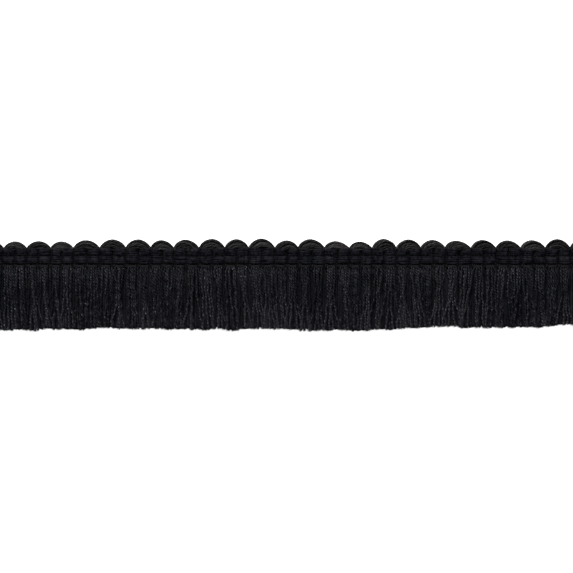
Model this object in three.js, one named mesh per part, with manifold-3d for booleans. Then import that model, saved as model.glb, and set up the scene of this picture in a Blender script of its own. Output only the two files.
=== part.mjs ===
// Brush fringe trim: a cut length of black furnishing fringe that lies flat on its back.
// Millimetres. +X runs along the trim, +Y towards the scalloped edge, +Z up out of the face.
// The origin is on the back of the skirt's root strip, half way along.

import * as THREE from "three";
import { mergeVertices } from "three/addons/utils/BufferGeometryUtils.js";
import Module from "manifold-3d";

const wasm = await Module();
wasm.setup();

// The scallops from left to right, a row each: the width, the height of the crest above the
// origin line, how far the crest leans to the right, and the drop of the skirt under it.
const SCALLOPS = [
  [8.8, 9.5, -0.3, 21.8],
  [8.1, 9.3, -0.1, 21.8],
  [8.6, 9.4, -0.1, 21.9],
  [8.1, 9.3, -0.3, 21.8],
  [9.3, 9.8, -0.3, 21.8],
  [9.3, 10.1, -0.1, 21.4],
  [8.9, 10.1, -0.2, 21.8],
  [8.2, 9.8, -0.5, 21.4],
  [9.0, 10.0, -0.5, 21.9],
  [9.1, 10.3, -0.2, 21.6],
  [8.5, 10.2, -0.2, 22.0],
  [9.3, 10.4, -0.2, 21.7],
  [8.3, 9.7, 0.0, 21.9],
  [9.5, 10.2, -0.6, 22.2],
  [8.8, 9.4, -0.8, 21.9],
  [8.1, 9.2, -0.6, 22.0],
  [8.4, 10.3, -0.2, 21.8],
  [8.8, 10.1, 0.0, 21.6],
  [8.8, 9.9, -0.3, 21.0],
  [9.2, 9.6, -1.0, 20.9],
  [8.8, 9.9, -0.5, 21.0],
  [8.8, 9.7, -0.4, 21.1],
  [8.8, 9.8, -0.5, 20.9],
  [8.7, 10.2, -0.2, 20.3],
  [8.8, 10.1, -0.3, 20.2],
].map(([width, rise, lean, drop]) => ({ width, rise, lean, drop }));

const LENGTH = SCALLOPS.reduce((sum, scallop) => sum + scallop.width, 0);

// Loop yarn: a band of two plies side by side, up one leg, over the arch and down the other leg.
const LEG_HALF_WIDTH = 1.275;
const EYE = { reach: 0.55, rise: 0.3 }; // the small eye that the arch closes round
const SCALLOP_OVERLAP = 0.1; // how far a scallop spreads over its neighbours' places
const ARCH_FOOT_Y = 6.25; // where the arches spring from the legs
const LOOP_BACK_Z = 0.75; // back and face of the legs
const LOOP_FACE_Z = 2.75;
const CREST_DROOP = 0.6; // how far the crest sinks towards the surface
const ARCH_POWER = 1.1; // 1 gives a half ellipse, more a bell
const ARCH_DEGREES = [168, 140, 115, 90, 65, 40, 12];
const FOOT_BAR = { low: 1.1, high: 1.65, back: 0.6, face: 2.9 }; // along the foot of all the legs
const LEG_END_Y = 1.4; // the legs end inside that bar

// Warp threads in two bands, each woven as a flat ribbon over one leg and under the next.
const WARP_ROWS_Y = [5.68, 4.68, 3.4, 2.4];
const WARP_HALF_WIDTH = 0.35;
const WARP_THICK = 0.45;
const WARP_CLEARANCE = 0.3;
const WARP_FLAT = 1.3; // half the straight length over or under a leg
const OVER_Z = LOOP_FACE_Z + WARP_CLEARANCE + WARP_THICK / 2;
const UNDER_Z = WARP_THICK / 2;

// Stay thread, over the roots of the skirt.
const STAY_Y = 0.25;
const STAY_HALF_WIDTH = 0.5;
const STAY_DIP = 0.14; // between the legs

// Brush skirt: strands in two layers, fused into the root strip.
const ROOT_STRIP = { low: -0.8, high: 0.8, face: 2.6 };
const STRAND_ROOT_Y = -0.4; // strands start inside the strip
const LAYERS = [
  { places: [0, 0.5], width: 1.65, base: 0, thick: 0.95, shorter: 0.3 },
  { places: [-0.31, 0, 0.31], width: 1.0, base: 1.25, thick: 0.95, shorter: 0 },
]; // places are from one leg towards the next
const STRAND_SECTIONS = [
  [0, 0.3],
  [0.06, 0],
  [0.55, 0],
  [1, 0],
].map(([part, lift]) => ({ part, lift })); // how far down the strand, and how far above its layer's base
const LENGTH_SCATTER = 0.5; // how much shorter than the drop a strand may be cut
const LENGTH_SEED = 5;
const CLUMP_SWAY = 0.35; // how far a leg's clump of strands leans to either side
const CLUMP_BOW = 0.15; // how far it bows
const SWAY_RATE = 0.8; // radians from one leg to the next
const BOW_RATE = 0.61;
const TIP_TAPER = 0.85; // width at the tip, as a part of the width at the root

const BLACK_YARN = { color: 0x17181b, roughness: 0.85, metalness: 0 };
const BLACK_THREAD = { color: 0x121316, roughness: 0.75, metalness: 0 };

// Cross sections, as corners in parts of the half width across and the half height up,
// from the top towards the +across side. A strand's height is counted from its flat base.
const TWO_PLY = [[0, 0.5], [0.55, 1], [1, 0], [0.7, -1], [-0.7, -1], [-1, 0], [-0.55, 1]];
const FLAT = [[1, 1], [1, -1], [-1, -1], [-1, 1]];
const THREE_SIDED = [[0, 1], [1, 0], [-1, 0]];

const UP = new THREE.Vector3(0, 0, 1);

// A closed bar: a cylinder with a side for each corner of the profile, its rings moved onto the
// sections in turn. A section has its middle and two half axes as vectors, across and up.
function bar(sections, profile) {
  const steps = sections.length - 1;
  const sides = profile.length;
  const cylinder = new THREE.CylinderGeometry(1, 1, 1, sides, steps);
  cylinder.deleteAttribute("normal");
  cylinder.deleteAttribute("uv");
  const geometry = mergeVertices(cylinder);
  const points = geometry.getAttribute("position");
  const capMiddle = [0, 1].map((axis) => profile.reduce((sum, corner) => sum + corner[axis], 0) / sides);
  for (let i = 0; i < points.count; i += 1) {
    const section = sections[Math.round((0.5 - points.getY(i)) * steps)];
    const onAxis = Math.hypot(points.getX(i), points.getZ(i)) < 0.5;
    const turn = Math.atan2(points.getX(i), points.getZ(i)) / (2 * Math.PI);
    const corner = onAxis ? capMiddle : profile[Math.round((turn + 1) * sides) % sides];
    const point = section.middle.clone();
    point.addScaledVector(section.across, corner[0]);
    point.addScaledVector(section.up, corner[1]);
    points.setXYZ(i, point.x, point.y, point.z);
  }
  return geometry;
}

// Across a path, seen from above, at point i: square to the line through its neighbours.
function acrossPath(path, i) {
  const before = path[Math.max(i - 1, 0)].middle;
  const after = path[Math.min(i + 1, path.length - 1)].middle;
  const along = new THREE.Vector3().subVectors(after, before).setZ(0).normalize();
  return new THREE.Vector3().crossVectors(UP, along);
}

function solidOf(geometry) {
  const vertProperties = Float32Array.from(geometry.getAttribute("position").array);
  const triVerts = Uint32Array.from(geometry.index.array);
  return new wasm.Manifold(new wasm.Mesh({ numProp: 3, vertProperties, triVerts }));
}

function joined(geometries) {
  const solid = geometries.map(solidOf).reduce((sum, next) => sum.add(next));
  const mesh = solid.getMesh();
  const geometry = new THREE.BufferGeometry();
  geometry.setAttribute("position", new THREE.BufferAttribute(mesh.vertProperties, 3));
  geometry.setIndex(new THREE.BufferAttribute(mesh.triVerts, 1));
  return geometry;
}

// A straight block along the whole trim.
function lengthwiseBlock(low, high, back, face) {
  const block = new THREE.BoxGeometry(LENGTH, high - low, face - back);
  block.translate(0, (low + high) / 2, (back + face) / 2);
  block.deleteAttribute("normal");
  block.deleteAttribute("uv");
  return mergeVertices(block);
}

// The middle of each scallop and the middles of its two legs, along the trim.
function placeScallops() {
  let left = -LENGTH / 2;
  for (const scallop of SCALLOPS) {
    scallop.x = left + scallop.width / 2;
    scallop.legs = [scallop.x - scallop.width / 4, scallop.x + scallop.width / 4];
    left += scallop.width;
  }
}

// A section of a loop, from its inner edge to its outer edge.
function loopSection(inner, outer, sink) {
  const middleZ = (LOOP_BACK_Z + LOOP_FACE_Z) / 2 - sink;
  return {
    middle: new THREE.Vector3((inner.x + outer.x) / 2, (inner.y + outer.y) / 2, middleZ),
    across: new THREE.Vector3((outer.x - inner.x) / 2, (outer.y - inner.y) / 2, 0),
    up: UP.clone().multiplyScalar((LOOP_FACE_Z - LOOP_BACK_Z) / 2),
  };
}

// The loop of one scallop: up the left leg, over the arch and down the right leg.
// The arch droops towards its crest.
function loop(scallop) {
  const legX = scallop.width / 4;
  const archReach = scallop.width / 2 + SCALLOP_OVERLAP;
  const archRise = scallop.rise - ARCH_FOOT_Y;
  const legSection = (side, y) => {
    const inner = { x: scallop.x + side * (legX - LEG_HALF_WIDTH), y };
    const outer = { x: scallop.x + side * (legX + LEG_HALF_WIDTH), y };
    return loopSection(inner, outer, 0);
  };
  const archSection = (degrees) => {
    const angle = THREE.MathUtils.degToRad(degrees);
    const side = degrees > 90 ? -1 : 1;
    const reach = side * Math.abs(Math.cos(angle)) ** ARCH_POWER;
    const height = Math.sin(angle) ** ARCH_POWER;
    const inner = { x: scallop.x + EYE.reach * reach, y: ARCH_FOOT_Y + EYE.rise * height };
    const outer = {
      x: scallop.x + archReach * reach + scallop.lean * height,
      y: ARCH_FOOT_Y + archRise * height,
    };
    return loopSection(inner, outer, CREST_DROOP * height);
  };
  const sections = [
    legSection(-1, LEG_END_Y),
    legSection(-1, ARCH_FOOT_Y),
    ...ARCH_DEGREES.map(archSection),
    legSection(1, ARCH_FOOT_Y),
    legSection(1, LEG_END_Y),
  ];
  return bar(sections, TWO_PLY);
}

function gimpLoops() {
  const footBar = lengthwiseBlock(FOOT_BAR.low, FOOT_BAR.high, FOOT_BAR.back, FOOT_BAR.face);
  return joined([footBar, ...SCALLOPS.map(loop)]);
}

// A flat ribbon along the trim through points in the X and Z plane.
// Each section is mitred, so that the ribbon keeps its thickness round the bends.
function ribbon(route, y, halfWidth) {
  const points = route.map(({ x, z }) => new THREE.Vector3(x, y, z));
  const lengthwise = new THREE.Vector3(1, 0, 0);
  const directions = points.slice(1).map((point, i) => point.clone().sub(points[i]).normalize());
  const sections = points.map((middle, i) => {
    const before = directions[i - 1] ?? lengthwise;
    const after = directions[i] ?? lengthwise;
    const atEnd = i === 0 || i === points.length - 1;
    const along = atEnd ? lengthwise : before.clone().add(after).normalize();
    return {
      middle,
      across: new THREE.Vector3(0, halfWidth, 0),
      up: new THREE.Vector3(-along.z, 0, along.x).multiplyScalar(WARP_THICK / 2 / along.dot(after)),
    };
  });
  return bar(sections, FLAT);
}

function allLegs() {
  return SCALLOPS.flatMap((scallop) => scallop.legs);
}

// A warp thread goes over every other leg, and under the legs between.
function warpThread(row) {
  const route = [];
  allLegs().forEach((leg, i) => {
    const z = (i + row) % 2 === 0 ? OVER_Z : UNDER_Z;
    route.push({ x: leg - WARP_FLAT, z }, { x: leg + WARP_FLAT, z });
  });
  route[0].x = -LENGTH / 2;
  route[route.length - 1].x = LENGTH / 2;
  return ribbon(route, WARP_ROWS_Y[row], WARP_HALF_WIDTH);
}

// The stay thread lies over the skirt's roots, and dips a little between the legs.
function stayThread() {
  const legs = allLegs();
  const route = [{ x: -LENGTH / 2, z: OVER_Z - STAY_DIP }];
  legs.forEach((leg, i) => {
    const next = i + 1 < legs.length ? (leg + legs[i + 1]) / 2 : LENGTH / 2;
    route.push({ x: leg, z: OVER_Z }, { x: next, z: OVER_Z - STAY_DIP });
  });
  return ribbon(route, STAY_Y, STAY_HALF_WIDTH);
}

// One strand: three-sided, flat underneath, from inside the root strip to its cut tip.
function strand(layer, rootX, tipShift, bow, drop) {
  const path = STRAND_SECTIONS.map(({ part, lift }) => ({
    middle: new THREE.Vector3(
      rootX + tipShift * part + bow * Math.sin(Math.PI * part),
      THREE.MathUtils.lerp(STRAND_ROOT_Y, -drop, part),
      layer.base + lift,
    ),
    width: layer.width * THREE.MathUtils.lerp(1, TIP_TAPER, part),
  }));
  const sections = path.map((point, i) => ({
    middle: point.middle,
    across: acrossPath(path, i).multiplyScalar(point.width / 2),
    up: UP.clone().multiplyScalar(layer.thick),
  }));
  return bar(sections, THREE_SIDED);
}

// A strand hangs from each place in a layer; the strands of one leg sway and bow together.
function brushSkirt() {
  THREE.MathUtils.seededRandom(LENGTH_SEED);
  const legs = SCALLOPS.flatMap((scallop) => scallop.legs.map((x) => ({ x, drop: scallop.drop })));
  const pieces = [lengthwiseBlock(ROOT_STRIP.low, ROOT_STRIP.high, 0, ROOT_STRIP.face)];
  legs.forEach((leg, k) => {
    const pitch = k + 1 < legs.length ? legs[k + 1].x - leg.x : leg.x - legs[k - 1].x;
    const sway = CLUMP_SWAY * Math.sin(SWAY_RATE * k);
    const bow = CLUMP_BOW * Math.cos(BOW_RATE * k);
    LAYERS.forEach((layer) => {
      layer.places.forEach((place) => {
        const rootX = leg.x + place * pitch;
        const cut = layer.shorter + LENGTH_SCATTER * THREE.MathUtils.seededRandom();
        if (Math.abs(rootX) + layer.width / 2 < LENGTH / 2) {
          pieces.push(strand(layer, rootX, sway, bow, leg.drop - cut));
        }
      });
    });
  });
  return joined(pieces);
}

function addPiece(group, name, geometry, finish) {
  geometry.computeVertexNormals();
  const mesh = new THREE.Mesh(geometry, new THREE.MeshStandardMaterial(finish));
  mesh.name = name;
  group.add(mesh);
}

placeScallops();
const trim = new THREE.Group();
addPiece(trim, "gimp_loops", gimpLoops(), BLACK_YARN);
WARP_ROWS_Y.forEach((_, row) => addPiece(trim, `warp_${row + 1}`, warpThread(row), BLACK_THREAD));
addPiece(trim, "stay_thread", stayThread(), BLACK_THREAD);
addPiece(trim, "brush_skirt", brushSkirt(), BLACK_YARN);

export default trim;
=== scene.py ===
"""Brush fringe trim: the yarns, threads and finish of a cut length that lies flat on its back."""

import math

import bpy
import numpy as np
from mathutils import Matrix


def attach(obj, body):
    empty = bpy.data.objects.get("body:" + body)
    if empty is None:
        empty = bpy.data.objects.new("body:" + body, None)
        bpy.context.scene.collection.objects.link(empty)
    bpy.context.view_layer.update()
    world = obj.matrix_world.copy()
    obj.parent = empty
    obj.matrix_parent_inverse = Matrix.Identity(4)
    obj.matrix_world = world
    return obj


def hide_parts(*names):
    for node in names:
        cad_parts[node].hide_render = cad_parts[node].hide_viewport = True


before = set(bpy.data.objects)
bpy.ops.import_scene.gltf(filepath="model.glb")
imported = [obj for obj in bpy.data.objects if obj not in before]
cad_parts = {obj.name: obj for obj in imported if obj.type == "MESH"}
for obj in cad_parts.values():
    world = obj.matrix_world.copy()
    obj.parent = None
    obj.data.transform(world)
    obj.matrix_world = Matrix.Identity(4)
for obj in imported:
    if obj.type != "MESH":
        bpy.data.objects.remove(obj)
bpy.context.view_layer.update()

# Sizes of the trim are in millimetres, and those of the room around it in metres.
# The length of a wave is that of one radian.
MM = 0.001

# The scallops from left to right: width, height of the crest above the foot of the heading,
# how far the crest leans to the right, drop of the skirt under the left leg and the right leg
SCALLOPS = np.array([
    (8.8, 9.5, -0.3, 22.0, 22.1),
    (8.1, 9.3, -0.1, 21.9, 21.7),
    (8.6, 9.4, -0.1, 22.2, 21.3),
    (8.1, 9.3, -0.3, 21.7, 21.6),
    (9.3, 9.8, -0.3, 22.0, 21.3),
    (9.3, 10.1, -0.1, 21.2, 21.3),
    (8.9, 10.1, -0.2, 21.7, 21.6),
    (8.2, 9.8, -0.5, 21.3, 21.5),
    (9.0, 10.0, -0.5, 21.5, 21.9),
    (9.1, 10.3, -0.2, 21.9, 21.3),
    (8.5, 10.2, -0.2, 22.0, 21.7),
    (9.3, 10.4, -0.2, 21.8, 21.6),
    (8.3, 9.7, 0.0, 21.7, 22.0),
    (9.5, 10.2, -0.6, 22.0, 22.2),
    (8.8, 9.4, -0.8, 22.3, 21.7),
    (8.1, 9.2, -0.6, 22.0, 22.1),
    (8.4, 10.3, -0.2, 21.5, 22.0),
    (8.8, 10.1, 0.0, 21.6, 21.3),
    (8.8, 9.9, -0.3, 21.0, 20.8),
    (9.2, 9.6, -1.0, 20.6, 21.3),
    (8.8, 9.9, -0.5, 21.0, 21.3),
    (8.8, 9.7, -0.4, 21.2, 21.0),
    (8.8, 9.8, -0.5, 21.0, 20.9),
    (8.7, 10.2, -0.2, 20.3, 20.1),
    (8.8, 10.1, -0.3, 20.2, 20.0),
])
WIDTH, RISE, LEAN = SCALLOPS[:, :3].T
LENGTH = WIDTH.sum()
CENTRES = np.cumsum(WIDTH) - WIDTH / 2 - LENGTH / 2
LEGS = np.stack([CENTRES - WIDTH / 4, CENTRES + WIDTH / 4], axis=1).ravel()
LEG_DROP = SCALLOPS[:, 3:].ravel()

# Yarn of two plies
UP = np.array([0.0, 0.0, 1.0])
PATH_STEPS = 12              # points of a smooth path from one given point to the next
GROOVE_POWER = 2.5           # how narrow the groove between the plies is
TWIST_SPREAD = (0.85, 1.2)   # shortest and longest turn, as parts of the usual one
TWIST_WANDER = 1.7           # length of the waves in which a yarn's twist speeds up and slows down
STREAK_OFFSET = 500          # how far along the streaks of its dye a yarn may start
PAINTED_PLY_LIGHT = 0.8            # painted light: how much lighter a yarn is where a ply comes to the top
CREST_LEVEL = 0.6            # height at which it keeps its own shade, as a part of its radius
PAINTED_GROOVE_SHADE = 0.9           # painted shade: how much darker it is between its plies

# Dyes: colour at the darkest and the lightest tone, roughness at full gloss and the tone where that
# is reached, strength of the highlights, and scale of the streaks across and along the fibre. Besides
# the dye's own streaks and random changes, the tone holds painted light and shade
SKIRT_DYE = {
    "dark": (0.0019, 0.002, 0.0029), "light": (0.0101, 0.0102, 0.0125),
    "roughness": 0.15, "full_gloss": 1.7, "specular": 0.15, "streaks": (9, 9, 1.5),
}
GIMP_DYE = {
    "dark": (0.0002, 0.0002, 0.0004), "light": (0.0122, 0.0104, 0.0109),
    "roughness": 0.28, "full_gloss": 1.0, "specular": 0.14, "streaks": (9, 9, 1.5),
}
WARP_DYE = {
    "dark": (0.0014, 0.0015, 0.0024), "light": (0.0087, 0.0088, 0.0107),
    "roughness": 0.55, "full_gloss": 1.0, "specular": 0.04, "streaks": (9, 9, 2.5),
}
HIGHLIGHT_TINT = (0.93, 0.95, 1, 1)
STREAK_DETAIL = 3.0
STREAK_DEPTH = 0.06
STREAK_STRENGTH = 0.5

# Loop yarn: rows are counted from the outline of a scallop inwards to its eye
ARCH_FOOT_Y = 6.2            # where the arches spring from the legs
ARCH_POWER = 1.1             # 1 gives a half ellipse, more a pointed arch
ARCH_ANGLES = np.radians(np.arange(172, 0, -16.4))  # from the left foot of an arch to the right
ARCH_LIFT_RATE = 2.2         # how soon an arch leaves the height of its legs
LOOP_ROWS = 4.3              # yarns from the outline to the eye
ROW_LIMITS = (0.42, 4.1)     # how near a row comes to the outline and to the eye
ROW_NARROWING = 0.55         # how much the rows lose in width, as a part of what they lose in height
LEG_POINTS_Y = (0.1, 2.0, 3.9, 5.2)
LEAN_PLAY = 2                # how much more a yarn strays in its lean than in its row and height
LOOP_TWIST = 4.2
ARCH_START_Y = 5.3           # where a yarn begins to take the radius and the shade of its arch
ARCH_START_LENGTH = 1.5
PAINTED_ARCH_LIGHT = 0.25           # painted light: how much lighter the top of an arch is than its foot
PAINTED_ARCH_LIGHT_Y = 6.5
PAINTED_ARCH_LIGHT_LENGTH = 2.5
LOOP_SHADE_SPREAD = 0.15
LOOP_SHADE_LIMITS = (-0.5, 0.6)
LOOP_SEED = 31

# Layers of loop yarn. leg_share: how much of its place a leg fills; arch_z and shades: one for each
# row; play: how far yarns stray; skew: how far the rows of a scallop lie to one side. The shades and
# the shade of the legs are painted shade and light: the legs darker where they lie among the threads,
# rows lighter or darker across the scallop with the outer one darkest as a rim, and the rows of the
# back layer darker under the front
LOOP_LAYERS = {
    "loops_front": {
        "rows": (0.6, 1.45, 2.3, 3.15, 4.0), "leg_share": 0.7, "leg_radius": 0.39, "arch_radius": 0.48,
        "leg_z": 2.05, "arch_z": (1.25, 1.75, 2.1, 2.25, 2.2), "steps": 78, "sides": 8, "groove": 0.27,
        "play": 0.2, "skew": 0.7, "painted_leg_shade": -0.35, "shades": (-0.4, -0.18, -0.09, -0.21, -0.3),
    },
    "loops_back": {
        "rows": (0.42, 1.3, 2.2, 3.05, 3.9), "leg_share": 1.0, "leg_radius": 0.66, "arch_radius": 0.56,
        "leg_z": 1.2, "arch_z": (0.65, 0.75, 0.85, 0.95, 1.0), "steps": 48, "sides": 8, "groove": 0.0,
        "play": 0.0, "skew": 0.0, "painted_leg_shade": -0.4, "shades": (-0.3, -0.4, -0.4, -0.4, -0.4),
    },
}

# Warp threads: in each band four threads over the even legs and four over the odd
BANDS = (
    {"rows": (6.55, 5.95, 5.35, 4.75), "lifts": (-0.05, -0.05, -0.15, -0.28)},
    {"rows": (3.75, 3.15, 2.55, 1.95), "lifts": (-0.2, 0.0, -0.03, -0.12)},
)
WARP_STEPS = 620
WARP_PLIES = (6, 0.3)        # sides of a thread's section, and depth of its groove
THREAD_PLAY = 0.14           # how far a thread strays sideways from leg to leg
SHED_SPREAD = 0.1            # how far each of the two sheds moves aside where they cross
THREAD_RADIUS = 0.5
THREAD_FLAT = 0.5            # thickness, as a part of the width
THREAD_TWIST = 1.8
OVER_Z = 2.7
UNDER_Z = 0.6
LEG_FLAT = 0.22              # part of the way to the next leg that a thread stays level
WARP_SHADE = (0.13, 0.1)     # mean, and spread from leg to leg
WARP_FLECK = 0.18            # spread of the flecks, which two threads share
PAINTED_LIFT_SHADE = 0.7             # painted shade: how much darker a thread is for each millimetre that it lies lower, under its neighbours
PAINTED_CROSSING_SHADE = (0.1, 0.4)  # painted shade: how much darker the threads are where they cross, least and most
WARP_SEED = 40

# Stay thread over the roots of the skirt
STAY_STEPS = 760
STAY_PLIES = (8, 0.4)
STAY_Y = 0.6
STAY_RADIUS = 0.42
STAY_OVER_Z = 2.6
STAY_DIP = 1.2               # how far it dips between the legs
STAY_SHADE = 0.4
STAY_PAINTED_DIP_SHADE = 0.8         # painted shade: how much darker it is there
STAY_SEED = 51

# Skirt: what the yarns under one leg, a clump, have in common, as spreads from clump to clump
CLUMP_NEIGHBOURS = (0.25, 0.5, 0.25)   # shares of a clump and the two beside it in its sway and shade
CLUMP_LIFT = 0.16
CLUMP_SHADE = 0.32
CLUMP_DROP = 0.2
CLUMP_FAN = (0.8, 0.5)                 # shape and scale: most clumps fan out little, a few far
CLUMP_HEM = 1.2                        # in shade, at the hem
CLUMP_WAVE = 0.2                       # slow change of shade down a clump
CLUMP_WAVE_LENGTH = 3.2

# Skirt: what each yarn has of its own, as spreads from yarn to yarn
YARN_PLACE = 0.28
YARN_SWAY = 0.4
YARN_BOW = 0.2
YARN_CUT = 0.09
YARN_LIFT = 0.1
YARN_SHADE = 0.13
STRAY_SWAY = 1.7                       # how far a stray yarn crosses the others
STRAY_LIFT = 0.45
STRAY_RATE = 1.2                       # how soon it lies down again

# Skirt: the form of a yarn from its root, 0, to its tip, 1
SKIRT_TWIST = 2.4
ROOT_SPREAD_LENGTH = 2.0               # length over which the yarns of a leg spread
HEIGHT_PLACES = (0, 0.08, 0.5, 1)
SWAY_POWER = 1.4                       # above 1, a yarn sways most near its tip
EDGE_CUT = 0.3                         # how much shorter the outer yarns of a clump are
DOME = 0.4                             # how much lower they lie than the middle
DOME_LEVEL = 0.4                       # square of the place from the middle, 0, to the side, 1, that stays
PINCH_RATE = 1.1                       # how soon a pinched clump opens again
PINCH_LIFT = 0.8                       # how much higher its middle lies than its outer yarns
PINCH_LEVEL = 0.5
FAN_LIFT = 0.4
RIPPLES = ((0.14, 1.3), (0.1, 0.62))   # heights and lengths of the waves from side to side
BOB = 0.11                             # height of the wave up and down
BOB_LENGTH = 0.5
ROOT_GIRTH = 0.84                      # as a part of the full radius
TIP_SWELL = 0.12                       # how much a yarn opens near its cut tip
TIP_SWELL_START = 0.93
TIP_SWELL_LENGTH = 0.05
TIP_GIRTH = 0.6

# Skirt: shades and strength of the flecks at places from the root to the tip. The shades are painted light
# and shade, lighter at the roots, where the yarns rise towards the light, darker half way and lighter
# again towards the tips; the flecks are painted glints
SHADE_PLACES = (0, 0.08, 0.4, 0.65, 1)
SKIRT_PAINTED_SHADES = (0.39, 0.35, 0.15, 0.06, 0.32)
FLECKS = (0.15, 0.25, 0.8, 2.4, 4.0)
FLECK_STEPS = 2                        # steps along a yarn that one fleck takes
FLECK_POWER = 3                        # above 1, few flecks are bright
FLECK_LEVEL = 0.2                      # taken off, so that they change the mean less
PATCHES = ((0.12, 2.1), (0.08, 0.9))   # heights and lengths of the waves of shade down a yarn
EDGE_PAINTED_SHADE = 0.3                       # painted shade: how much darker the outer yarns of a clump are, as they lie lower
PAINTED_SHADE_RATE = 1.6                        # how soon the painted shade of an under layer is at its darkest
FAN_SHADE = 1.1                        # how much lighter the clumps are that fan out
PINCH_SHADE = 3.6                      # or that were pinched
LIGHTER_START = 0.45
SKIRT_SHADE_LIMITS = (-0.5, 1.1)
SKIRT_SEED = 11

# Layers of the skirt from the floor up. yarns: to a leg; stagger: in yarns; root_share: how much of its
# place a leg's roots fill; heights: at the root, the bulge, half way and the tip; sway, pinch and fan:
# how far clumps lean, draw together and open; play: how freely the yarns move; stray: share that cross
# the others; shade: painted shade, darker for the layers under the front; fade: painted shade, how much
# darker below the roots; life: strength of the flecks, which are painted glints, and of the shades at
# the hem; parts: pieces made of it
SKIRT_LAYERS = {
    "back": {
        "yarns": 5, "stagger": 0.0, "root_share": 1.0, "start_y": 0.9, "radius": 0.7, "groove": 0.1,
        "heights": (0.7, 0.7, 0.7, 0.7), "steps": 30, "sides": 6, "parts": 1,
        "sway": 0.0, "play": 0.1, "stray": 0.0, "pinch": 0.0, "fan": 0.0,
        "shade": -0.3, "fade": 0.36, "life": 0.2,
    },
    "middle": {
        "yarns": 4, "stagger": 0.5, "root_share": 0.9, "start_y": 0.1, "radius": 0.5, "groove": 0.6,
        "heights": (1.75, 1.95, 1.5, 1.3), "steps": 64, "sides": 6, "parts": 1,
        "sway": 0.9, "play": 0.7, "stray": 0.04, "pinch": 0.0, "fan": 0.3,
        "shade": -0.02, "fade": 0.8, "life": 0.4,
    },
    "front": {
        "yarns": 4, "stagger": 0.0, "root_share": 0.7, "start_y": 0.4, "radius": 0.48, "groove": 0.68,
        "heights": (2.4, 2.4, 1.9, 1.7), "steps": 96, "sides": 8, "parts": 2,
        "sway": 1.5, "play": 1.0, "stray": 0.07, "pinch": 0.95, "fan": 0.8,
        "shade": 0.2, "fade": 0.0, "life": 1.0,
    },
}

# Loose fibre ends at the cut tips
TUFTS_PER_TIP = 4
TUFT_SIDES = 3
TUFT_ROOT = 0.25                       # how far up the yarn they start
TUFT_SCATTER = 0.16
TUFT_REACH = (0.25, 0.5)
TUFT_SIDEWAYS = 0.25
TUFT_RISE = 0.15
TUFT_BEND = 0.05
TUFT_BEND_PLACE = 0.55
TUFT_LOWEST = 0.08
TUFT_RADII = (0.06, 0.05, 0.02)
TUFT_SHADE = 0.25
TUFT_SEED = 21

# Floor, light and camera, which looks straight down on the face
FLOOR_HALF = 3.0
FLOOR_TONES = (0.9, 0.93)
FLOOR_GRAIN = 40
FLOOR_ROUGHNESS = 0.9
WORLD_STRENGTH = 0.15
MM_PER_PIXEL = 0.355
IMAGE_PIXELS = 573
VIEW_CENTRE = (-0.16, -6.57)
VIEW_Z = 2                             # height at which a pixel is that wide
LENS = 100
SENSOR = 36


def smoothstep(t):
    """From 0 to 1 with an eased start and end."""
    t = np.clip(t, 0, 1)
    return t * t * (3 - 2 * t)


def arc(t):
    """Up from 0 and back to 0 as t goes from 0 to 1."""
    return np.sin(np.pi * np.clip(t, 0, 1))


def wave_sum(waves, depth, phases):
    """The sum of waves, each with a height and a length."""
    return sum(height * np.sin(depth / length + phase) for (height, length), phase in zip(waves, phases))


def smooth_path(points, count):
    """A smooth curve through the points, as `count` points evenly spaced along it."""
    points = np.asarray(points, dtype=float)
    padded = np.vstack([2 * points[0] - points[1], points, 2 * points[-1] - points[-2]])
    before, start, end, after = padded[:-3], padded[1:-2], padded[2:-1], padded[3:]
    t = np.linspace(0, 1, PATH_STEPS, endpoint=False)[:, None, None]
    curve = 0.5 * (
        2 * start
        + (end - before) * t
        + (2 * before - 5 * start + 4 * end - after) * t**2
        + (3 * start - before - 3 * end + after) * t**3
    )
    curve = np.vstack([curve.transpose(1, 0, 2).reshape(-1, points.shape[1]), points[-1]])
    run = np.concatenate([[0], np.cumsum(np.linalg.norm(np.diff(curve, axis=0), axis=1))])
    even = np.linspace(0, run[-1], count)
    return np.stack([np.interp(even, run, column) for column in curve.T], axis=1)


def ply_profile(sides, groove):
    """Radius round a yarn of two plies, in parts of its full radius, with the grooves between them."""
    angle = 2 * np.pi * np.arange(sides) / sides
    return 1 - groove * np.abs(np.sin(angle)) ** GROOVE_POWER


def leg_x(position):
    """The place along the trim of a leg counted in whole and part legs, past the ends too."""
    ends = (2 * LEGS[0] - LEGS[1], 2 * LEGS[-1] - LEGS[-2])
    places = np.concatenate([ends[:1], LEGS, ends[1:]])
    return np.interp(position, np.arange(-1, len(LEGS) + 1), places)


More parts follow.
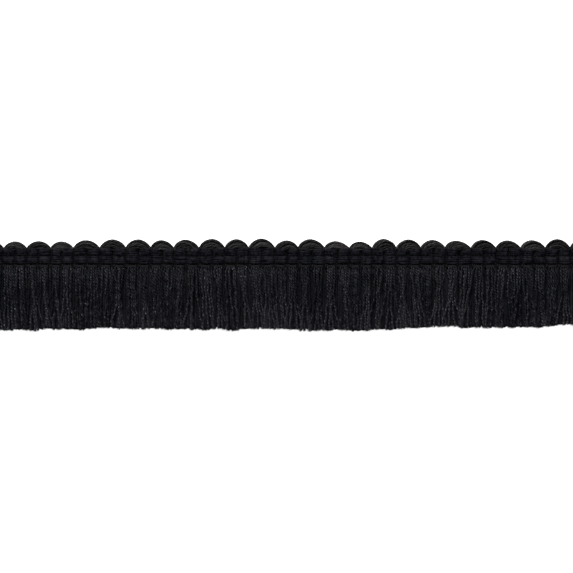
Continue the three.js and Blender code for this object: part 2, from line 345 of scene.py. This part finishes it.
def tubes(paths, radii, profile, twist, rng, flat=1.0):
    """Closed tubes along many paths at once, turning once in about each `twist` of their length."""
    count, steps, _ = paths.shape
    sides = len(profile)
    along = np.gradient(paths, axis=1)
    along /= np.linalg.norm(along, axis=2, keepdims=True)
    side = np.cross(along, UP)
    side /= np.linalg.norm(side, axis=2, keepdims=True)
    up = np.cross(side, along)
    lengths = np.linalg.norm(np.diff(paths, axis=1), axis=2)
    run = np.concatenate([np.zeros((count, 1)), np.cumsum(lengths, axis=1)], axis=1)
    first_turn, wander = rng.uniform(0, 2 * np.pi, (2, count, 1))
    pitch = twist * rng.uniform(*TWIST_SPREAD, (count, 1))
    turn = 2 * np.pi * run / pitch + first_turn + np.sin(run / TWIST_WANDER + wander)
    corner = 2 * np.pi * np.arange(sides) / sides
    angle = (turn[:, :, None] + corner)[..., None]
    reach = (radii[:, :, None] * profile)[..., None]
    points = paths[:, :, None, :] + reach * np.cos(angle) * side[:, :, None]
    points += reach * flat * np.sin(angle) * up[:, :, None]

    ring = np.arange(sides)
    ring_start = (np.arange(count)[:, None] * steps + np.arange(steps - 1))[..., None] * sides
    quads = np.stack([ring_start + ring, ring_start + np.roll(ring, -1)], axis=-1)
    quads = np.concatenate([quads, quads[..., ::-1] + sides], axis=-1).reshape(-1, 4)
    first_ring = np.arange(count)[:, None] * steps * sides + ring
    caps = np.concatenate([first_ring[:, ::-1], first_ring + (steps - 1) * sides])

    fibre = np.empty(points.shape)
    fibre[..., 0] = reach[..., 0] * np.cos(corner)
    fibre[..., 1] = reach[..., 0] * np.sin(corner)
    fibre[..., 2] = run[:, :, None] + rng.uniform(0, STREAK_OFFSET, (count, 1, 1))
    # Painted light and shade: a ply lighter where it comes to the top, darker towards its sides and in the
    # grooves between the plies
    crest = PAINTED_PLY_LIGHT * (profile * np.sin(angle[..., 0]) - CREST_LEVEL)
    painted_ply_shading = crest - PAINTED_GROOVE_SHADE * (1 - profile)
    return points.reshape(-1, 3), quads, caps, fibre.reshape(-1, 3), painted_ply_shading.ravel()


def add_piece(name, tube, shade, material, node):
    """A mesh piece from tubes, with the place in the fibre and the shade of each point as attributes; the
    shade holds random tone and painted light and shade.
    """
    points, quads, caps, fibre, painted_ply_shading = tube
    mesh = bpy.data.meshes.new(name)
    mesh.from_pydata(points * MM, [], quads.tolist() + caps.tolist(), shade_flat=False)
    mesh.attributes.new("fibre", "FLOAT_VECTOR", "POINT").data.foreach_set("vector", fibre.ravel())
    full_shade = np.repeat(shade.ravel(), len(points) // shade.size) + painted_ply_shading
    mesh.attributes.new("shade", "FLOAT", "POINT").data.foreach_set("value", full_shade)
    mesh.materials.append(material)
    piece = bpy.data.objects.new(name, mesh)
    bpy.context.scene.collection.objects.link(piece)
    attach(piece, "root")
    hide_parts(node)


# Materials

def yarn_material(name, dye):
    """Dyed yarn: streaks along the fibre and the shade of each point, which holds painted light and shade,
    set its colour and its gloss.
    """
    material = bpy.data.materials.new(name)
    material.use_nodes = True
    nodes = material.node_tree.nodes
    links = material.node_tree.links
    shader = nodes["Principled BSDF"]
    shader.inputs["Specular Tint"].default_value = HIGHLIGHT_TINT
    shader.inputs["Specular IOR Level"].default_value = dye["specular"]

    fibre = nodes.new("ShaderNodeAttribute")
    fibre.attribute_name = "fibre"
    stretch = nodes.new("ShaderNodeMapping")
    stretch.inputs["Scale"].default_value = dye["streaks"]
    links.new(fibre.outputs["Vector"], stretch.inputs["Vector"])
    noise = nodes.new("ShaderNodeTexNoise")
    noise.inputs["Scale"].default_value = 1.0
    noise.inputs["Detail"].default_value = STREAK_DETAIL
    links.new(stretch.outputs["Vector"], noise.inputs["Vector"])

    shade = nodes.new("ShaderNodeAttribute")
    shade.attribute_name = "shade"
    tone = nodes.new("ShaderNodeMath")
    tone.operation = "ADD"
    links.new(noise.outputs["Fac"], tone.inputs[0])
    links.new(shade.outputs["Fac"], tone.inputs[1])
    ramp = nodes.new("ShaderNodeValToRGB")
    ramp.color_ramp.elements[0].color = (*dye["dark"], 1)
    ramp.color_ramp.elements[1].color = (*dye["light"], 1)
    links.new(tone.outputs["Value"], ramp.inputs["Fac"])
    links.new(ramp.outputs["Color"], shader.inputs["Base Color"])

    rough = nodes.new("ShaderNodeMapRange")
    rough.inputs["From Max"].default_value = dye["full_gloss"]
    rough.inputs["To Min"].default_value = 1.0
    rough.inputs["To Max"].default_value = dye["roughness"]
    links.new(tone.outputs["Value"], rough.inputs["Value"])
    links.new(rough.outputs["Result"], shader.inputs["Roughness"])

    bump = nodes.new("ShaderNodeBump")
    bump.inputs["Strength"].default_value = STREAK_STRENGTH
    bump.inputs["Distance"].default_value = STREAK_DEPTH * MM
    links.new(noise.outputs["Fac"], bump.inputs["Height"])
    links.new(bump.outputs["Normal"], shader.inputs["Normal"])
    return material


SKIRT_YARN = yarn_material("skirt_yarn", SKIRT_DYE)
GIMP_YARN = yarn_material("gimp_yarn", GIMP_DYE)
WARP_THREAD = yarn_material("warp_thread", WARP_DYE)


# Brush skirt

def clump_values(layer, rng):
    """What the yarns of each leg have in common: a value for each leg."""
    legs = len(LEGS)
    return {
        "sway": np.convolve(rng.normal(0, layer["sway"], legs + 2), CLUMP_NEIGHBOURS, "valid"),
        "lift": rng.normal(0, CLUMP_LIFT, legs),
        "shade": np.convolve(rng.normal(0, CLUMP_SHADE, legs + 2), CLUMP_NEIGHBOURS, "valid"),
        "wave": rng.uniform(0, 2 * np.pi, legs),
        "drop": rng.normal(0, CLUMP_DROP, legs),
        "fan": layer["fan"] * rng.gamma(*CLUMP_FAN, legs),
        "hem": rng.normal(0, CLUMP_HEM, legs),
        "pinch": layer["pinch"] * rng.uniform(0, 1, legs),
    }


def skirt_layer(name, layer, seed):
    """One layer of cut yarns: those of a leg start side by side and spread, sway and bow together."""
    # Every yarn's root, sway and length, as columns with a row for each yarn
    rng = np.random.default_rng(seed)
    clumps = clump_values(layer, rng)
    yarns = layer["yarns"]
    leg = np.repeat(np.arange(len(LEGS)), yarns)[:, None]
    place = np.tile(np.arange(yarns) - (yarns - 1) / 2, len(LEGS))[:, None] + layer["stagger"]
    clump = {key: values[leg] for key, values in clumps.items()}
    each = leg.shape
    play = layer["play"]
    root_x = leg_x(leg + place / yarns * layer["root_share"])
    body_x = leg_x(leg + place / yarns) + play * rng.normal(0, YARN_PLACE, each)
    strays = rng.random(each) < layer["stray"]
    sway = clump["sway"] + play * rng.normal(0, YARN_SWAY, each)
    sway += strays * rng.choice((-STRAY_SWAY, STRAY_SWAY), each)
    sway += clump["fan"] * place
    sway = np.clip(body_x + sway, -LENGTH / 2, LENGTH / 2) - body_x
    bow = play * rng.normal(0, YARN_BOW, each)
    edge = (2 * place / yarns) ** 2
    drop = np.interp(body_x + sway, LEGS, LEG_DROP) + clump["drop"] - EDGE_CUT * edge
    drop += rng.normal(0, YARN_CUT, each)
    dome = DOME * (DOME_LEVEL - edge) + clump["lift"] + play * rng.normal(0, YARN_LIFT, each)

    # Its path and its radius from the root to the tip
    t = np.linspace(0, 1, layer["steps"])
    depth = t * (drop + layer["start_y"])
    spread = smoothstep(depth / ROOT_SPREAD_LENGTH)
    wave = rng.uniform(0, 2 * np.pi, (2, *each))
    pinch = clump["pinch"] * arc(PINCH_RATE * t)
    x = root_x + (body_x - root_x) * spread + sway * t**SWAY_POWER
    x += bow * np.sin(np.pi * t) + play * wave_sum(RIPPLES, depth, wave) * spread
    x -= pinch * (body_x - leg_x(leg))
    y = layer["start_y"] - depth
    z = np.interp(t, HEIGHT_PLACES, layer["heights"]) + dome * spread
    z += PINCH_LIFT * pinch * (PINCH_LEVEL - edge)
    z += STRAY_LIFT * strays * arc(STRAY_RATE * t) + BOB * play * np.sin(depth / BOB_LENGTH + wave[1])
    z += FAN_LIFT * clump["fan"] * smoothstep(2 * t - 1)
    girth = layer["radius"] * (ROOT_GIRTH + (1 - ROOT_GIRTH) * spread)
    girth = girth * (1 + TIP_SWELL * smoothstep((t - TIP_SWELL_START) / TIP_SWELL_LENGTH))
    girth[:, -1] *= TIP_GIRTH
    paths = np.stack([x, y, np.maximum(z, girth)], axis=2)

    # Its shade along the same steps: random tone, with painted light and shade and painted glints
    # Painted shade: darker for the layers under the front and for the outer yarns of a clump, around a
    # random tone for each clump and yarn
    shade = layer["shade"] + clump["shade"] - EDGE_PAINTED_SHADE * edge + rng.normal(0, YARN_SHADE, each)
    shade = shade + wave_sum(PATCHES, depth, (wave[0], 2 * wave[1]))
    # Painted shade: an under layer darker below its roots
    shade -= layer["fade"] * smoothstep(PAINTED_SHADE_RATE * t)
    lighter = FAN_SHADE * clump["fan"] + PINCH_SHADE * clump["pinch"] ** 2
    # Painted light and shade down the yarn; clumps that fan out or were pinched lighter towards the tips
    shade += np.interp(t, SHADE_PLACES, SKIRT_PAINTED_SHADES) + lighter * smoothstep(2 * (t - LIGHTER_START))
    # Flecks: painted glints, few and bright, which also make those spots glossier
    flecks = rng.random((len(leg), layer["steps"] // FLECK_STEPS + 1)) ** FLECK_POWER - FLECK_LEVEL
    flecks = np.repeat(flecks, FLECK_STEPS, axis=1)[:, :layer["steps"]]
    shade += layer["life"] * (flecks * np.interp(t, SHADE_PLACES, FLECKS) + clump["hem"] * t**2)
    shade += CLUMP_WAVE * np.sin(depth / CLUMP_WAVE_LENGTH + clump["wave"])
    shade = np.clip(shade, *SKIRT_SHADE_LIMITS)

    profile = ply_profile(layer["sides"], layer["groove"])
    for part, chosen in enumerate(np.array_split(np.arange(len(leg)), layer["parts"])):
        tube = tubes(paths[chosen], girth[chosen], profile, SKIRT_TWIST, rng)
        add_piece(f"skirt_{name}_{part + 1}", tube, shade[chosen], SKIRT_YARN, "brush_skirt")
    return paths[:, -1]


def hem_tufts(tips):
    """Loose fibre ends that fan out of each cut tip."""
    rng = np.random.default_rng(TUFT_SEED)
    tip = np.repeat(tips, TUFTS_PER_TIP, axis=0)
    count = len(tip)
    start = tip + rng.normal(0, TUFT_SCATTER, (count, 3)) + (0, TUFT_ROOT, 0)
    reach = rng.uniform(*TUFT_REACH, count)
    sideways = rng.normal(0, TUFT_SIDEWAYS, count)
    end = start + np.stack([sideways, -reach, rng.normal(0, TUFT_RISE, count)], axis=1)
    bend = start + TUFT_BEND_PLACE * (end - start) + rng.normal(0, TUFT_BEND, (count, 3))
    paths = np.stack([start, bend, end], axis=1)
    paths[..., 2] = np.maximum(paths[..., 2], TUFT_LOWEST)
    radii = np.tile(TUFT_RADII, (count, 1))
    tube = tubes(paths, radii, np.ones(TUFT_SIDES), SKIRT_TWIST, rng)
    add_piece("hem_tufts", tube, np.full(count, TUFT_SHADE), SKIRT_YARN, "brush_skirt")


def brush_skirt():
    """All the layers of the skirt, and the loose ends at their tips."""
    tips = []
    for i, (name, layer) in enumerate(SKIRT_LAYERS.items()):
        tips.append(skirt_layer(name, layer, SKIRT_SEED + i))
    hem_tufts(np.concatenate(tips))


# Gimp loops

def loop_points(scallop, row, skew, leg_offset, leg_z, lean, arch_z):
    """Points of one loop yarn: up the left leg, round the arch and down the right leg."""
    centre = CENTRES[scallop]
    full_reach = WIDTH[scallop] / 2
    full_height = RISE[scallop] - ARCH_FOOT_Y
    leg_reach = WIDTH[scallop] / 4 + leg_offset
    left = [(centre - leg_reach, y, leg_z) for y in LEG_POINTS_Y]
    arch = []
    for angle in ARCH_ANGLES:
        bulge = math.copysign(abs(math.cos(angle)) ** ARCH_POWER, math.cos(angle))
        climb = math.sin(angle) ** ARCH_POWER
        height_share = 1 - np.clip(row + skew * math.cos(angle), *ROW_LIMITS) / LOOP_ROWS
        width_share = 1 - ROW_NARROWING * (1 - height_share)
        x = centre + width_share * full_reach * bulge + height_share * lean * climb
        y = ARCH_FOOT_Y + height_share * full_height * climb
        z = leg_z + (arch_z - leg_z) * smoothstep(ARCH_LIFT_RATE * climb)
        arch.append((x, y, z))
    right = [(centre + leg_reach, y, leg_z) for y in reversed(LEG_POINTS_Y)]
    return left + arch + right


def loop_layer(name, layer, seed):
    """The loop yarns of all the scallops, on the face or behind; the outermost row doesn't stray."""
    rng = np.random.default_rng(seed)
    rows = layer["rows"]
    paths = []
    for scallop in range(len(CENTRES)):
        skew = layer["skew"] * rng.normal()
        for i, row in enumerate(rows):
            leg_place = ((len(rows) - 1) / 2 - i) / len(rows)
            leg_offset = leg_place * layer["leg_share"] * WIDTH[scallop] / 2
            shift, lift, lean = layer["play"] * min(i, 1) * rng.normal(0, 1, 3)
            crest = (LEAN[scallop] + LEAN_PLAY * lean, layer["arch_z"][i] + lift)
            points = loop_points(scallop, row + shift, skew, leg_offset, layer["leg_z"], *crest)
            paths.append(smooth_path(points, layer["steps"]))
    paths = np.array(paths)
    y = paths[..., 1]
    in_arch = smoothstep((y - ARCH_START_Y) / ARCH_START_LENGTH)
    radii = layer["leg_radius"] + (layer["arch_radius"] - layer["leg_radius"]) * in_arch
    tube = tubes(paths, radii, ply_profile(layer["sides"], layer["groove"]), LOOP_TWIST, rng)
    # Painted light: the tops of the arches lighter than their feet
    climb = smoothstep((y - PAINTED_ARCH_LIGHT_Y) / PAINTED_ARCH_LIGHT_LENGTH)
    # Painted shade and light: each row's shade, around a random spread, and the legs darker among the
    # threads
    row_shade = np.tile(layer["shades"], len(CENTRES)) + rng.normal(0, LOOP_SHADE_SPREAD, len(paths))
    shade = layer["painted_leg_shade"] * (1 - in_arch) + (row_shade[:, None] + PAINTED_ARCH_LIGHT * climb) * in_arch
    add_piece(name, tube, np.clip(shade, *LOOP_SHADE_LIMITS), GIMP_YARN, "gimp_loops")


def gimp_loops():
    """The loops on the face and those behind them."""
    for i, (name, layer) in enumerate(LOOP_LAYERS.items()):
        loop_layer(name, layer, LOOP_SEED + i)


# Warp and stay threads

def leg_phase(x):
    """The leg before each x, and the eased way from it to the next leg."""
    position = np.interp(x, LEGS, np.arange(len(LEGS)))
    leg = np.floor(position)
    way = smoothstep((position - leg - LEG_FLAT) / (1 - 2 * LEG_FLAT))
    return leg.astype(int), way


def warp_threads():
    """Threads over one leg and under the next; the two sheds cross between the legs."""
    x = np.linspace(-LENGTH / 2, LENGTH / 2, WARP_STEPS)
    leg, way = leg_phase(x)
    crossing = 4 * way * (1 - way)
    half_legs = leg_x(np.arange(-1, len(LEGS) + 1, 0.5))
    for number, band in enumerate(BANDS):
        for shed in (0, 1):
            warp = 2 * number + shed
            rng = np.random.default_rng(WARP_SEED + warp)
            side = np.where((leg + shed) % 2 == 0, 1, -1) * (1 - 2 * way)
            apart = SHED_SPREAD * (1 - 2 * shed) * crossing
            paths = []
            for row, lift in zip(band["rows"], band["lifts"]):
                stray = np.interp(x, half_legs, rng.normal(0, THREAD_PLAY, len(half_legs)))
                z = UNDER_Z + (OVER_Z + lift - UNDER_Z) * (1 + side) / 2
                paths.append(np.stack([x, row + apart + stray, z], axis=1))
            paths = np.array(paths)
            radii = np.full(paths.shape[:2], THREAD_RADIUS)
            tube = tubes(paths, radii, ply_profile(*WARP_PLIES), THREAD_TWIST, rng, THREAD_FLAT)
            shade = rng.normal(*WARP_SHADE, (len(paths), len(LEGS)))[:, leg]
            flecks = rng.normal(0, WARP_FLECK, (len(paths) // 2, len(x) // 2))
            shade += flecks.repeat(2, axis=0).repeat(2, axis=1)
            # Painted shade: a thread darker as it lies lower
            shade += PAINTED_LIFT_SHADE * np.array(band["lifts"])[:, None]
            # Painted shade where the sheds cross and dive between the legs
            shade -= crossing * rng.uniform(*PAINTED_CROSSING_SHADE, len(LEGS))[leg]
            name = f"warp_threads_{warp + 1}"
            add_piece(name, tube, shade, WARP_THREAD, f"warp_{warp + 1}")


def stay_threads():
    """The thread over the roots of the skirt: up on each leg, down between the legs."""
    rng = np.random.default_rng(STAY_SEED)
    x = np.linspace(-LENGTH / 2, LENGTH / 2, STAY_STEPS)
    _, way = leg_phase(x)
    dip = 4 * way * (1 - way)
    path = np.stack([x, np.full(len(x), STAY_Y), STAY_OVER_Z - STAY_DIP * dip], axis=1)
    radii = np.full((1, len(x)), STAY_RADIUS)
    tube = tubes(path[None], radii, ply_profile(*STAY_PLIES), THREAD_TWIST, rng, THREAD_FLAT)
    # Painted shade where the thread dips between the legs
    shade = STAY_SHADE - STAY_PAINTED_DIP_SHADE * dip
    add_piece("stay_threads", tube, shade, WARP_THREAD, "stay_thread")


# Floor, light and camera

def floor():
    """A white surface that the trim lies on."""
    material = bpy.data.materials.new("floor")
    material.use_nodes = True
    nodes = material.node_tree.nodes
    links = material.node_tree.links
    shader = nodes["Principled BSDF"]
    shader.inputs["Roughness"].default_value = FLOOR_ROUGHNESS
    shader.inputs["Specular IOR Level"].default_value = 0.0
    noise = nodes.new("ShaderNodeTexNoise")
    noise.inputs["Scale"].default_value = FLOOR_GRAIN
    ramp = nodes.new("ShaderNodeValToRGB")
    for element, tone in zip(ramp.color_ramp.elements, FLOOR_TONES):
        element.color = (tone, tone, tone, 1)
    links.new(noise.outputs["Fac"], ramp.inputs["Fac"])
    links.new(ramp.outputs["Color"], shader.inputs["Base Color"])
    corners = [(x * FLOOR_HALF, y * FLOOR_HALF, 0) for x, y in ((-1, -1), (1, -1), (1, 1), (-1, 1))]
    mesh = bpy.data.meshes.new("floor")
    mesh.from_pydata(corners, [], [(0, 1, 2, 3)])
    mesh.materials.append(material)
    plane = bpy.data.objects.new("floor", mesh)
    bpy.context.scene.collection.objects.link(plane)


def softbox(name, place, size, watts, highlights):
    """A square light that faces the trim."""
    light = bpy.data.lights.new(name, "AREA")
    light.size = size
    light.energy = watts
    lamp = bpy.data.objects.new(name, light)
    lamp.location = place
    lamp.rotation_euler = (-lamp.location).to_track_quat("-Z", "Y").to_euler()
    lamp.visible_glossy = highlights
    bpy.context.scene.collection.objects.link(lamp)


def studio():
    """A pale room, a low key light beyond the scallops and a soft light overhead."""
    scene = bpy.context.scene
    scene.view_settings.view_transform = "Standard"
    world = bpy.data.worlds.new("studio")
    world.use_nodes = True
    background = world.node_tree.nodes["Background"]
    background.inputs["Color"].default_value = (1, 1, 1, 1)
    background.inputs["Strength"].default_value = WORLD_STRENGTH
    scene.world = world
    softbox("key", place=(-0.3, 1.15, 0.65), size=0.35, watts=34, highlights=True)
    softbox("overhead", place=(0.2, 0.1, 1.4), size=0.8, watts=26, highlights=False)


def camera():
    """The camera, straight above the face."""
    view = bpy.data.cameras.new("camera")
    view.lens = LENS
    view.sensor_width = SENSOR
    eye = bpy.data.objects.new("camera", view)
    frame_width = MM_PER_PIXEL * IMAGE_PIXELS * MM
    eye.location = (VIEW_CENTRE[0] * MM, VIEW_CENTRE[1] * MM, VIEW_Z * MM + frame_width * LENS / SENSOR)
    bpy.context.scene.collection.objects.link(eye)
    bpy.context.scene.camera = eye


camera()
brush_skirt()
gimp_loops()
warp_threads()
stay_threads()
floor()
studio()
